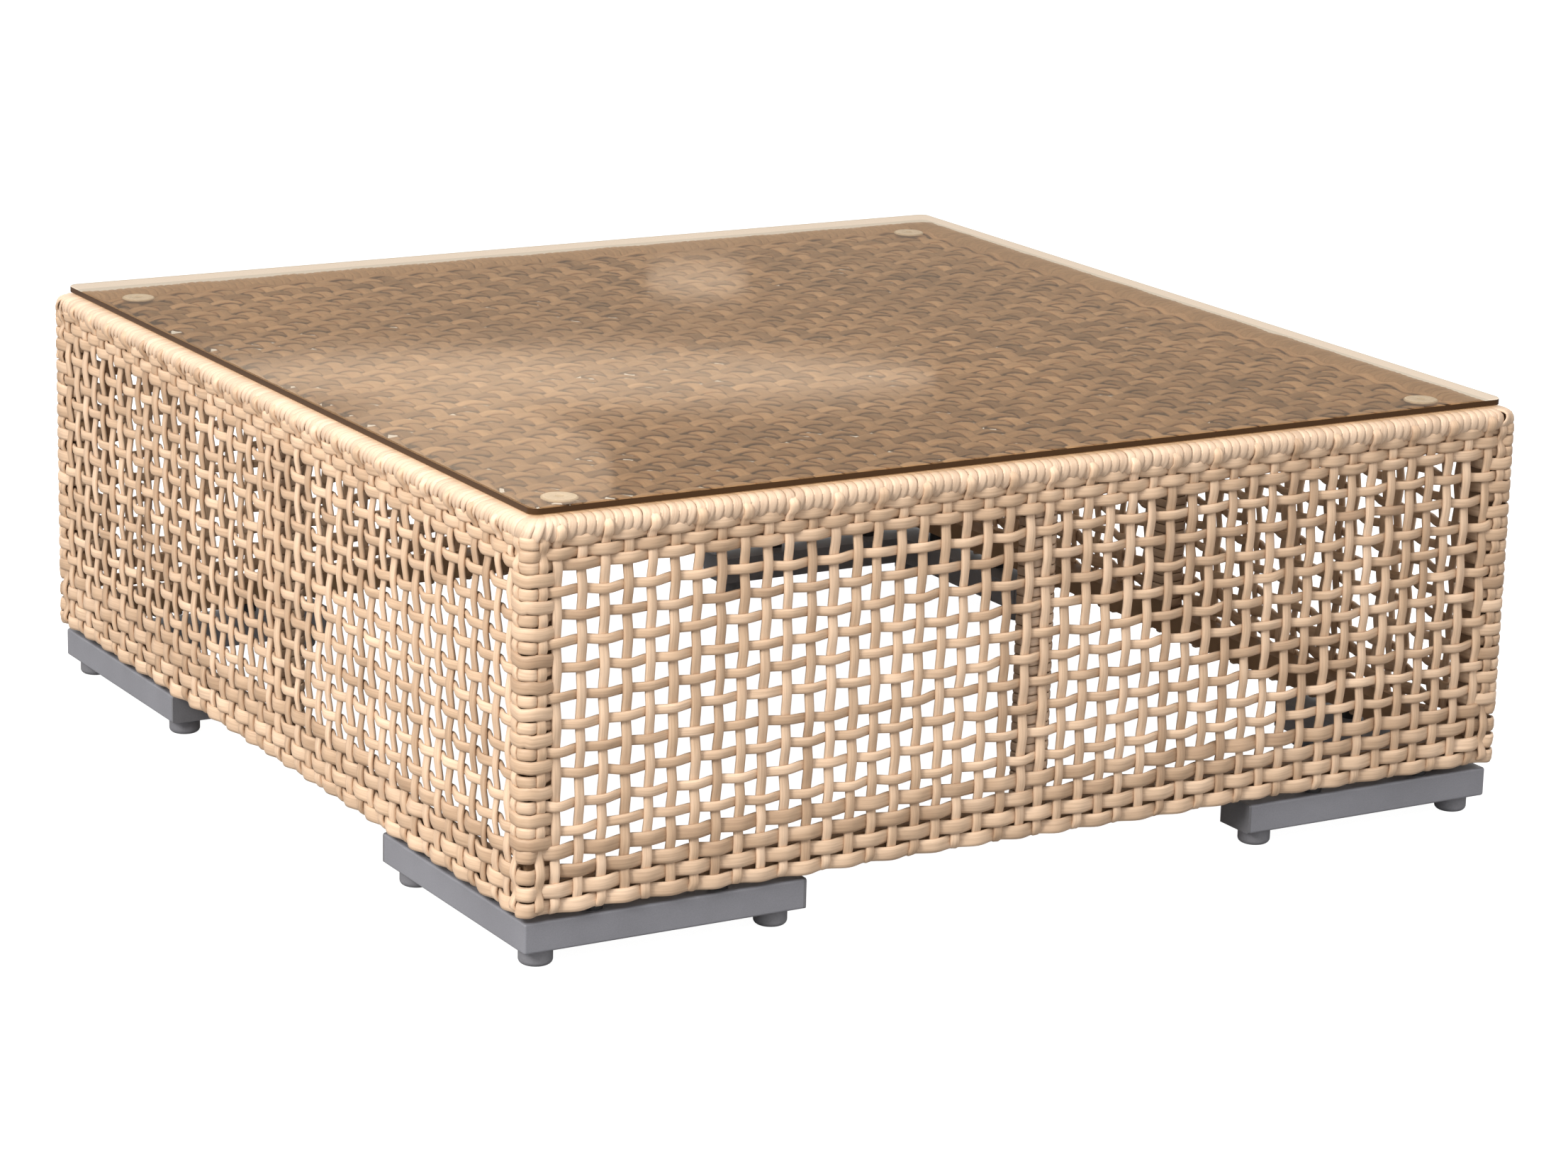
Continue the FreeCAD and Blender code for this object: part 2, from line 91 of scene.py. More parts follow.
# The open weave of a side. Places are from the side's middle, and heights from the floor.
UPRIGHT_PITCH = 0.0192
UPRIGHT_FIRST = 0.017
UPRIGHTS_PER_HALF = 22
UPRIGHT_WIDTH = 0.0078
UPRIGHT_THICK = 0.0038
UPRIGHT_WAVE = 0.0011
ROW_WAVE = 0.0026
OPEN_ROW_WIDTH = 0.0076
DENSE_ROW_WIDTH = 0.0114
TOP_ROW_WIDTH = 0.0092
ROW_THICK = 0.0036
OPEN_ROWS = 10
OPEN_ROW_FIRST = 0.1078
OPEN_ROW_PITCH = 0.0199
DENSE_ROWS = (0.0494, 0.0623, 0.0760, 0.0910)
TOP_ROWS = (0.3060, 0.3148, 0.3234)

# The corners: the middle of their rounding, how far from it the strands run, how many
# places a row has between the uprights of two sides, the upright beside a corner, the
# turns between the rows, and how wide a row is there.
CORNER_RADIUS = 0.014
CORNER_CENTRE = wrap_high.x - CORNER_RADIUS
CORNER_ROUNDING = 0.0121
CORNER_PLACES = 5
CORNER_UPRIGHT = 0.4330
CORNER_UPRIGHT_WIDTH = 0.0076
CORNER_UPRIGHT_THICK = 0.0034
CORNER_WIDTH = 0.0102
CORNER_THICK = 0.0038
CORNER_ROW_WIDTH = 0.0094

# The windings of the rim and of the middle posts, and the deck.
RIM_PITCH = 0.0075
RIM_LEAN = 0.006
RIM_WIDTH = 0.0080
RIM_THICK = 0.0026
RIM_CORNER_TURNS = 8
POST_PITCH = 0.0078
POST_WIDTH = 0.94 * POST_PITCH
POST_THICK = 0.0016
DECK_WAVE = 0.0014
DECK_THICK = 0.0026
DECK_WIDTH = 0.0112

open_rows = [OPEN_ROW_FIRST + OPEN_ROW_PITCH * k for k in range(OPEN_ROWS)]
row_heights = list(DENSE_ROWS) + open_rows + list(TOP_ROWS)
row_widths = (
    [DENSE_ROW_WIDTH] * len(DENSE_ROWS)
    + [OPEN_ROW_WIDTH] * OPEN_ROWS
    + [TOP_ROW_WIDTH] * len(TOP_ROWS)
)
half_places = [UPRIGHT_FIRST + UPRIGHT_PITCH * k for k in range(UPRIGHTS_PER_HALF)]
upright_places = [-p for p in reversed(half_places)] + [0.0] + half_places
rows_count = len(row_heights)
uprights_count = len(upright_places)


# ---------------------------------------------------------------- paths and strands


def side_axes(side):
    """The direction along a side, seen from outside left to right, and its outward normal."""
    angle = side * math.pi / 2
    along = np.array([math.cos(angle), math.sin(angle), 0.0])
    out = np.array([math.sin(angle), -math.cos(angle), 0.0])
    return along, out


def place(side, local):
    """Turns rows of (along, out, height) on one side into points of the table's frame."""
    along, out = side_axes(side)
    local = np.asarray(local, float)
    flat = local[:, :1] * along + local[:, 1:2] * out
    flat[:, 2] += local[:, 2]
    return flat


def smooth_path(points, steps, closed=False):
    """A smooth curve through the points, with that many samples a span."""
    points = np.asarray(points, float)
    if closed:
        points = np.vstack([points[-1:], points, points[:2]])
    else:
        points = np.vstack([2 * points[0] - points[1], points, 2 * points[-1] - points[-2]])
    gaps = np.linalg.norm(np.diff(points, axis=0), axis=1)
    gaps = np.maximum(gaps, 1e-6)[:, None]
    slopes = np.diff(points, axis=0) / gaps
    tangents = (slopes[:-1] * gaps[1:] + slopes[1:] * gaps[:-1]) / (gaps[1:] + gaps[:-1])
    start = points[1:-2]
    end = points[2:-1]
    leave = tangents[:-1] * gaps[1:-1]
    arrive = tangents[1:] * gaps[1:-1]
    share = (np.arange(steps) / steps)[None, :, None]
    square = share * share
    cube = square * share
    curve = (
        (2 * cube - 3 * square + 1) * start[:, None]
        + (cube - 2 * square + share) * leave[:, None]
        + (3 * square - 2 * cube) * end[:, None]
        + (cube - square) * arrive[:, None]
    ).reshape(-1, points.shape[1])
    if closed:
        return curve
    return np.vstack([curve, end[-1:]])


def drift(noise, count, reach, amount):
    """A slowly wandering offset: white noise smoothed over that many places."""
    raw = noise.normal(size=count + 4 * reach)
    window = np.hanning(2 * reach + 1)
    window /= math.sqrt((window**2).sum())
    return amount * np.convolve(raw, window, "same")[2 * reach : 2 * reach + count]


def unit(vectors):
    """Each row of the array scaled to a length of one."""
    return vectors / np.maximum(np.linalg.norm(vectors, axis=1, keepdims=True), 1e-12)


class Strands:
    """Collects strands, each a closed tube with a flattened section, into one mesh."""

    def __init__(self, seed):
        self.noise = np.random.default_rng(seed)
        self.points = []
        self.quads = []
        self.caps = []
        self.quad_uv = []
        self.cap_uv = []
        self.tones = []
        self.count = 0

    def add(self, path, outward, width, thick, tone=None, closed=False, tilt=0.0, start=None):
        """Adds one strand whose flat face looks along outward, turned about the path by tilt."""
        path = np.asarray(path, float)
        rings = len(path)
        if closed:
            tangent = unit(np.roll(path, -1, 0) - np.roll(path, 1, 0))
        else:
            tangent = unit(np.gradient(path, axis=0))
        across = unit(np.cross(tangent, outward))
        face = np.cross(across, tangent)
        turn = np.broadcast_to(np.asarray(tilt, float), (rings,))[:, None]
        wide = across * np.cos(turn) + face * np.sin(turn)
        deep = face * np.cos(turn) - across * np.sin(turn)
        angles = (np.arange(SECTION_SIDES) + 0.5) * 2 * math.pi / SECTION_SIDES
        x = np.sign(np.cos(angles)) * np.abs(np.cos(angles)) ** SQUARENESS / 2
        y = np.sign(np.sin(angles)) * np.abs(np.sin(angles)) ** SQUARENESS * thick / 2
        widths = np.broadcast_to(np.asarray(width, float), (rings,))[:, None, None]
        shape = x[None, :, None] * wide[:, None] * widths + y[None, :, None] * deep[:, None]
        self.points.append((path[:, None] + shape).reshape(-1, 3))
        # Quads go round each ring and on to the next one.
        last = rings if closed else rings - 1
        ring = np.arange(last)[:, None]
        after = (ring + 1) % rings
        corner = np.arange(SECTION_SIDES)[None, :]
        beside = (corner + 1) % SECTION_SIDES
        quad = np.stack(
            [
                ring * SECTION_SIDES + corner,
                ring * SECTION_SIDES + beside,
                after * SECTION_SIDES + beside,
                after * SECTION_SIDES + corner,
            ],
            axis=-1,
        ).reshape(-1, 4)
        self.quads.append(quad + self.count)
        steps = np.linalg.norm(np.roll(path, -1, 0) - path, axis=1)
        length = np.concatenate([[0.0], np.cumsum(steps)])
        begin = self.noise.uniform(0, 40) if start is None else start
        round_step = (float(np.mean(width)) + thick) / SECTION_SIDES * 1.6
        low = length[:last][:, None] + 0 * corner
        high = length[1 : last + 1][:, None] + 0 * corner
        v_low = corner + 0 * ring
        cell = np.stack(
            [
                np.stack([low, v_low], -1),
                np.stack([low, v_low + 1], -1),
                np.stack([high, v_low + 1], -1),
                np.stack([high, v_low], -1),
            ],
            axis=2,
        ).reshape(-1, 4, 2)
        self.quad_uv.append((cell, begin, round_step))
        if not closed:
            first = self.count + np.arange(SECTION_SIDES)[::-1]
            final = self.count + (rings - 1) * SECTION_SIDES + np.arange(SECTION_SIDES)
            self.caps.append(np.stack([first, final]))
            ends = np.zeros((2, SECTION_SIDES, 2))
            ends[0, :, 1] = np.arange(SECTION_SIDES)[::-1]
            ends[1, :, 1] = np.arange(SECTION_SIDES)
            ends[1, :, 0] = length[last]
            self.cap_uv.append((ends, begin, round_step))
        value = self.noise.uniform() if tone is None else tone
        self.tones.append(np.full(rings * SECTION_SIDES, value, np.float32))
        self.count += rings * SECTION_SIDES

    def build(self, name, material):
        """Makes one mesh object of the strands, with their maps and each strand's tone."""
        points = np.concatenate(self.points)
        quads = np.concatenate(self.quads)
        caps = np.concatenate(self.caps) if self.caps else np.zeros((0, SECTION_SIDES), int)
        loops = np.concatenate([quads.ravel(), caps.ravel()])
        sizes = np.concatenate([np.full(len(quads), 4), np.full(len(caps), SECTION_SIDES)])
        starts = np.concatenate([[0], np.cumsum(sizes)[:-1]])
        mesh = bpy.data.meshes.new(name)
        mesh.vertices.add(len(points))
        mesh.vertices.foreach_set("co", points.astype(np.float32).ravel())
        mesh.loops.add(len(loops))
        mesh.loops.foreach_set("vertex_index", loops.astype(np.int32))
        mesh.polygons.add(len(sizes))
        mesh.polygons.foreach_set("loop_start", starts.astype(np.int32))
        mesh.update(calc_edges=True)
        mesh.shade_smooth()
        self.lay_out(mesh)
        tone = mesh.attributes.new("tone", "FLOAT", "POINT")
        tone.data.foreach_set("value", np.concatenate(self.tones))
        mesh.materials.append(material)
        piece = bpy.data.objects.new(name, mesh)
        bpy.context.scene.collection.objects.link(piece)
        return piece

    def lay_out(self, mesh):
        """Two maps: one in metres along and round each strand, and one packed for baking.

        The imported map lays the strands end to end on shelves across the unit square.
        """
        real = []
        packed = []
        total = sum(cell[:, :, 0].max() for cell, begin, step in self.quad_uv)
        girth = np.mean([step for cell, begin, step in self.quad_uv]) * SECTION_SIDES
        shelves = max(1, int(math.ceil(math.sqrt(total / (girth * 1.3)))))
        shelf = total / shelves * 1.01

        def pack(cells, run, level):
            """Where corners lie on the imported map, from the run before them and their shelf."""
            u = (cells[:, :, 0] + run - level * shelf) / shelf * 0.98 + 0.01
            v = (level + 0.08 + cells[:, :, 1] / SECTION_SIDES * 0.84) / (shelves + 1)
            return np.stack([u, v], -1)

        run = 0.0
        cap_real = []
        cap_packed = []
        open_index = 0
        for cell, begin, step in self.quad_uv:
            real.append(np.stack([cell[:, :, 0] + begin, cell[:, :, 1] * step], -1))
            middle = cell[:, :, 0].mean(1, keepdims=True) + run
            packed.append(pack(cell, run, np.floor(middle / shelf)))
            if open_index < len(self.cap_uv) and self.cap_uv[open_index][1] == begin:
                ends = self.cap_uv[open_index][0]
                cap_real.append(np.stack([ends[:, :, 0] + begin, ends[:, :, 1] * step], -1))
                cap_packed.append(pack(ends, run, np.floor((ends[:, :, 0] + run) / shelf)))
                open_index += 1
            run += cell[:, :, 0].max()
        for name, quads, caps in (("strand", real, cap_real), ("OFBake", packed, cap_packed)):
            layer = mesh.uv_layers.new(name=name, do_init=False)
            values = [a.reshape(-1, 2) for a in quads] + [a.reshape(-1, 2) for a in caps]
            layer.uv.foreach_set("vector", np.concatenate(values).astype(np.float32).ravel())


# ---------------------------------------------------------------- materials


def new_material(name):
    """An empty material, with its node tree and its shader."""
    material = bpy.data.materials.new(name)
    material.use_nodes = True
    tree = material.node_tree
    shader = tree.nodes["Principled BSDF"]
    return material, tree, shader


def node(tree, kind, **values):
    """Adds a node. A value sets the property of its name, or else the input of its name."""
    made = tree.nodes.new(kind)
    for key, value in values.items():
        if hasattr(made, key):
            setattr(made, key, value)
        else:
            made.inputs[key.replace("_", " ")].default_value = value
    return made


def ramp(tree, factor, stops):
    """Turns a factor into a colour by stops of (factor, colour)."""
    made = tree.nodes.new("ShaderNodeValToRGB")
    while len(made.color_ramp.elements) < len(stops):
        made.color_ramp.elements.new(0.5)
    for element, (where, colour) in zip(made.color_ramp.elements, stops):
        element.position = where
        element.color = (*colour, 1.0)
    tree.links.new(factor, made.inputs["Fac"])
    return made.outputs["Color"]


def blend_colours(tree, kind, factor, first, second):
    """Mixes two colours. The factor and the colours are values or sockets."""
    made = tree.nodes.new("ShaderNodeMix")
    made.data_type = "RGBA"
    made.blend_type = kind
    for socket, value in ((made.inputs[0], factor), (made.inputs[6], first), (made.inputs[7], second)):
        if isinstance(value, bpy.types.NodeSocket):
            tree.links.new(value, socket)
        elif isinstance(value, tuple):
            socket.default_value = (*value, 1.0)
        else:
            socket.default_value = value
    return made.outputs[2]


def stretched(tree, vector, scale):
    """The vector with each of its three parts scaled on its own."""
    made = node(tree, "ShaderNodeMapping")
    made.inputs["Scale"].default_value = scale
    tree.links.new(vector, made.inputs["Vector"])
    return made.outputs["Vector"]


def wandering(tree, vector, scale, detail, roughness):
    """A factor round 0.5 that changes smoothly with the place that the vector gives."""
    made = node(tree, "ShaderNodeTexNoise", Scale=scale, Detail=detail, Roughness=roughness)
    tree.links.new(vector, made.inputs["Vector"])
    return made.outputs["Fac"]


def vary_roughness(tree, factor, socket, low, high):
    """Drives a roughness socket by a factor from 0 to 1, between two values."""
    gloss = node(tree, "ShaderNodeMapRange")
    gloss.inputs["To Min"].default_value = low
    gloss.inputs["To Max"].default_value = high
    tree.links.new(factor, gloss.inputs["Value"])
    tree.links.new(gloss.outputs["Result"], socket)


def add_bump(tree, height, shader, strength, depth):
    """Roughens a shader's surface by a height from 0 to 1, over a depth in metres."""
    bump = node(tree, "ShaderNodeBump", Strength=strength, Distance=depth)
    tree.links.new(height, bump.inputs["Height"])
    tree.links.new(bump.outputs["Normal"], shader.inputs["Normal"])


def mix_shaders(tree, share, first, second):
    """The first shader where the share is 0 and the second where it is 1."""
    made = node(tree, "ShaderNodeMixShader")
    for socket, source in zip(made.inputs, (share, first, second)):
        tree.links.new(source, socket)
    return made.outputs["Shader"]


def make_wicker(name, pale, mid, dark):
    """Synthetic rattan: fine lengthwise fibres, a tone of its own for each strand."""
    material, tree, shader = new_material(name)
    uv = node(tree, "ShaderNodeUVMap", uv_map="strand").outputs["UV"]
    fibres = wandering(tree, stretched(tree, uv, (22.0, 900.0, 1.0)), 1.0, 4.0, 0.65)
    blotch = wandering(tree, stretched(tree, uv, (14.0, 60.0, 1.0)), 1.0, 2.0, 0.5)
    tone = node(tree, "ShaderNodeAttribute", attribute_name="tone").outputs["Fac"]
    own = ramp(tree, tone, [(0.0, dark), (0.45, mid), (1.0, pale)])
    slow = ramp(tree, blotch, [(0.35, dark), (0.5, mid), (0.68, pale)])
    body = blend_colours(tree, "MIX", 0.45, own, slow)
    streak = ramp(tree, fibres, [(0.3, (0.74, 0.70, 0.66)), (0.6, (1.06, 1.05, 1.03))])
    colour = blend_colours(tree, "MULTIPLY", 0.75, body, streak)
    tree.links.new(colour, shader.inputs["Base Color"])
    vary_roughness(tree, fibres, shader.inputs["Roughness"], 0.38, 0.62)
    add_bump(tree, fibres, shader, 0.35, 0.0004)
    shader.inputs["Specular IOR Level"].default_value = 0.4
    return material


def make_coat(name, colour, darker, roughness, grain, bump_depth, metallic=0.0):
    """Powder coat, moulded plastic or zinc: a fine grain, with slow changes of tone and gloss."""
    material, tree, shader = new_material(name)
    where = node(tree, "ShaderNodeTexCoord").outputs["Object"]
    fine = wandering(tree, where, grain, 3.0, 0.6)
    broad = wandering(tree, where, 9.0, 4.0, 0.55)
    body = ramp(tree, broad, [(0.32, darker), (0.66, colour)])
    speck = ramp(tree, fine, [(0.3, (0.88, 0.88, 0.88)), (0.7, (1.05, 1.05, 1.05))])
    tree.links.new(blend_colours(tree, "MULTIPLY", 0.8, body, speck), shader.inputs["Base Color"])
    low = roughness - 0.08
    high = roughness + 0.08
    vary_roughness(tree, broad, shader.inputs["Roughness"], low, high)
    add_bump(tree, fine, shader, 0.3, bump_depth)
    shader.inputs["Metallic"].default_value = metallic
    return material


def make_glass(name, tint, mirror_tint, edge_tint, far_edge_tint):
    """Bronze glass: it tints what lies under it and reflects more at a low angle."""
    material, tree, shader = new_material(name)
    tree.nodes.remove(shader)
    output = tree.nodes["Material Output"]
    through = node(tree, "ShaderNodeBsdfTransparent")
    through.inputs["Color"].default_value = (*tint, 1.0)
    mirror = node(tree, "ShaderNodeBsdfGlossy")
    mirror.inputs["Color"].default_value = (*mirror_tint, 1.0)
    where = node(tree, "ShaderNodeTexCoord").outputs["Object"]
    smear = wandering(tree, where, 5.0, 3.0, 0.5)
    vary_roughness(tree, smear, mirror.inputs["Roughness"], 0.02, 0.10)
    fresnel = node(tree, "ShaderNodeFresnel", IOR=1.45)
    geometry = node(tree, "ShaderNodeNewGeometry")
    inside = geometry.outputs["Backfacing"]
    outside = node(tree, "ShaderNodeMath", operation="SUBTRACT")
    outside.inputs[0].default_value = 1.0
    tree.links.new(inside, outside.inputs[1])
    share = node(tree, "ShaderNodeMath", operation="MULTIPLY")
    tree.links.new(fresnel.outputs["Fac"], share.inputs[0])
    tree.links.new(outside.outputs["Value"], share.inputs[1])
    surface = mix_shaders(tree, share.outputs["Value"], through.outputs["BSDF"], mirror.outputs["BSDF"])
    # The ground edges are deep in colour from outside, because one looks along the sheet
    # there, and pale where one looks out through them from inside.
    outer_edge = node(tree, "ShaderNodeBsdfPrincipled", Roughness=0.22)
    outer_edge.inputs["Base Color"].default_value = (*edge_tint, 1.0)
    outer_edge.inputs["Specular IOR Level"].default_value = 0.2
    far_edge = node(tree, "ShaderNodeBsdfTransparent")
    far_edge.inputs["Color"].default_value = (*far_edge_tint, 1.0)
    edge = mix_shaders(tree, inside, outer_edge.outputs["BSDF"], far_edge.outputs["BSDF"])
    parts = node(tree, "ShaderNodeSeparateXYZ")
    tree.links.new(geometry.outputs["Normal"], parts.inputs["Vector"])
    upright = node(tree, "ShaderNodeMath", operation="ABSOLUTE")
    tree.links.new(parts.outputs["Z"], upright.inputs[0])
    is_edge = node(tree, "ShaderNodeMath", operation="LESS_THAN")
    is_edge.inputs[1].default_value = 0.5
    tree.links.new(upright.outputs["Value"], is_edge.inputs[0])
    whole = mix_shaders(tree, is_edge.outputs["Value"], surface, edge)
    tree.links.new(whole, output.inputs["Surface"])
    return material


WICKER = make_wicker("wicker_strand", (0.76, 0.575, 0.425), (0.575, 0.41, 0.28), (0.38, 0.255, 0.165))
RIM_WICKER = make_wicker("wicker_rim", (0.66, 0.50, 0.375), (0.56, 0.415, 0.30), (0.40, 0.285, 0.20))
# The deck's copy of the wicker has a darker dark end and a paler pale end than the sides' wicker: painted
# shade and painted highlight, which give its strands more contrast under the glass.
DECK_WICKER_PAINTED_CONTRAST = make_wicker("wicker_deck_painted_contrast", (0.86, 0.65, 0.48), (0.52, 0.365, 0.245), (0.24, 0.155, 0.095))
TUBE = make_coat("frame_powder_coat", (0.30, 0.185, 0.10), (0.24, 0.145, 0.08), 0.5, 900.0, 0.0001)
FOOT = make_coat("foot_powder_coat", (0.225, 0.228, 0.255), (0.19, 0.192, 0.215), 0.42, 1100.0, 0.0001)
LEVELLER = make_coat("leveller_plastic", (0.20, 0.20, 0.22), (0.165, 0.165, 0.18), 0.5, 700.0, 0.0001)
CAP = make_coat("cap_plastic", (0.16, 0.16, 0.175), (0.13, 0.13, 0.14), 0.45, 700.0, 0.0001)
STEEL = make_coat("zinc_steel", (0.55, 0.55, 0.54), (0.42, 0.42, 0.42), 0.35, 400.0, 0.00008, 1.0)
SPACER = make_coat("spacer_nylon", (0.020, 0.020, 0.022), (0.012, 0.012, 0.013), 0.5, 600.0, 0.0001)
RUBBER = make_coat("bumper_rubber", (0.97, 0.96, 0.95), (0.93, 0.92, 0.90), 0.55, 500.0, 0.0001)
GLASS = make_glass(
    "bronze_glass",
    tint=(0.765, 0.715, 0.64),
    mirror_tint=(0.44, 0.36, 0.285),
    edge_tint=(0.060, 0.028, 0.010),
    far_edge_tint=(0.96, 0.86, 0.77),
)


# ---------------------------------------------------------------- the side weave


def finish_piece(piece, slot, body, *nodes):
    """Says which body a piece rides on, and hides the nodes it stands for. The slot argument is not used.
    """
    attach(piece, body)
    if nodes:
        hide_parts(*nodes)


def wave(side, upright, row):
    """+1 where the upright lies outside the row at their crossing, or else -1."""
    return 1 if (upright + row + side) % 2 == 0 else -1


def is_open(row):
    """Whether a row belongs to the open weave, and not to the dense bands under and over it."""
    return len(DENSE_ROWS) <= row < rows_count - len(TOP_ROWS)


crossing_noise = np.random.default_rng(11)
# How far each crossing sits from its even place, along the side and in height.
shift_along = np.zeros((4, uprights_count, rows_count))
shift_up = np.zeros((4, uprights_count, rows_count))
for side in range(4):
    for i in range(uprights_count):
        shift_along[side, i] = drift(crossing_noise, rows_count, 5, 0.0005)
        shift_along[side, i] += crossing_noise.normal(0, 0.00015, rows_count)
    for j in range(rows_count):
        loose = 0.0009 if is_open(j) else 0.0004
        shift_up[side, :, j] = drift(crossing_noise, uprights_count, 4, loose)
        shift_up[side, :, j] += crossing_noise.normal(0, 0.45 * loose, uprights_count)


def crossing(side, upright, row):
    """Where an upright and a row cross: the place along the side, and the height."""
    x = upright_places[upright] + shift_along[side, upright, row]
    z = row_heights[row] + shift_up[side, upright, row]
    return x, z


def build_uprights(side):
    """Strands from under the bottom rail, up through the rows, to the top rail."""
    strands = Strands(100 + side)
    for i, x in enumerate(upright_places):
        outer_top = wave(side, i, rows_count - 1) > 0
        points = [
            (x, FRAME_IN + 0.004, SKIN_BOTTOM + 0.0030),
            (x, FRAME_OUT - 0.004, SKIN_BOTTOM + 0.0026),
            (x, SKIN_MIDDLE - 0.0020, SKIN_BOTTOM + 0.0030),
        ]
        for j in range(rows_count):
            where, height = crossing(side, i, j)
            points.append((where, SKIN_MIDDLE + UPRIGHT_WAVE * wave(side, i, j), height))
        # Every second upright comes out over the foot of the rim windings and dives between them.
        if outer_top:
            points += [
                (x, SKIN_MIDDLE + 0.0044, RAIL_TOP - 0.0075),
                (x, SKIN_MIDDLE + 0.0048, RAIL_TOP - 0.0030),
                (x, SKIN_MIDDLE + 0.0006, RAIL_TOP + 0.0004),
                (x, SKIN_IN + 0.0010, RAIL_TOP + 0.0008),
            ]
        else:
            points += [(x, SKIN_IN + 0.0016, RAIL_TOP - 0.0020)]
        path = smooth_path(points, 5)
        facing = np.tile([0.0, 1.0, 0.0], (len(path), 1))
        # Where the strand runs level its face looks up, and on the side it looks out.
        slope = np.gradient(path, axis=0)
        facing[:, 1] = slope[:, 2]
        facing[:, 2] = -slope[:, 1]
        tilt = drift(strands.noise, len(path), 12, 0.10)
        outward = unit(place(side, facing))
        strands.add(place(side, path), outward, UPRIGHT_WIDTH, UPRIGHT_THICK, tilt=tilt)
    piece = strands.build(f"uprights_{SIDE_NAMES[side]}", WICKER)
    finish_piece(piece, "wicker", "table", f"side_weave_{SIDE_NAMES[side]}")


# Each row is one strand round the whole table. It is built as four pieces, which meet
# at the corner upright where each side begins.
row_noise = np.random.default_rng(23)
row_tones = row_noise.uniform(size=rows_count)
corner_up = row_noise.normal(0, 0.0004, (4, rows_count))


def corner_points(side, height):
    """The five places of a row between the edge uprights of one side and of the next."""
    near = SKIN_MIDDLE - 0.0014
    bend = CORNER_CENTRE + 0.0108
    middle = CORNER_CENTRE + CORNER_ROUNDING * math.sqrt(0.5)
    turn = [
        (CORNER_UPRIGHT, near, height),
        (CORNER_CENTRE + 0.0052, bend, height),
        (middle, middle, height),
        (bend, CORNER_CENTRE + 0.0052, height),
        (near, CORNER_UPRIGHT, height),
    ]
    return place(side, turn)


def build_rows():
    """The level strands of the side weave, from the dense band below to the one above."""
    sides = [Strands(200 + side) for side in range(4)]
    for j in range(rows_count):
        points = []
        facing = []
        for side in range(4):
            local = []
            for i in range(uprights_count):
                where, height = crossing(side, i, j)
                local.append((where, SKIN_MIDDLE - ROW_WAVE * wave(side, i, j), height))
            out = side_axes(side)[1]
            points.append(place(side, local))
            facing += [out] * uprights_count
            points.append(corner_points(side, row_heights[j] + corner_up[side, j]))
            after = side_axes(side + 1)[1]
            for share in np.linspace(0.0, 1.0, CORNER_PLACES):
                facing.append(unit((out * (1 - share) + after * share)[None])[0])
        steps = 6
        path = smooth_path(np.concatenate(points), steps, closed=True)
        normals = smooth_path(np.array(facing), steps, closed=True)
        tilt = drift(row_noise, len(path), 14, 0.10)
        span = (uprights_count + CORNER_PLACES) * steps
        # Round the corners, where the turns press on it, the strand is spread flatter.
        at_corner = np.arange(len(path)) % span / steps - uprights_count
        spread = np.clip(1.6 - np.abs(at_corner - CORNER_PLACES // 2) * 0.5, 0, 1)
        wider = max(CORNER_ROW_WIDTH - row_widths[j], 0)
        width = row_widths[j] + wider * spread
        for side in range(4):
            first = side * span - steps
            pick = np.arange(first, first + span + 1) % len(path)
            # The fibres of a row run on from one of its four pieces to the next.
            sides[side].add(
                path[pick],
                unit(normals[pick]),
                width[pick],
                ROW_THICK,
                tone=row_tones[j],
                tilt=tilt[pick],
                start=10.0 + j * 4.1 + side * span * 0.0033,
            )
    for side in range(4):
        piece = sides[side].build(f"rows_{SIDE_NAMES[side]}", WICKER)
        finish_piece(piece, "wicker", "table", f"side_weave_{SIDE_NAMES[side]}")


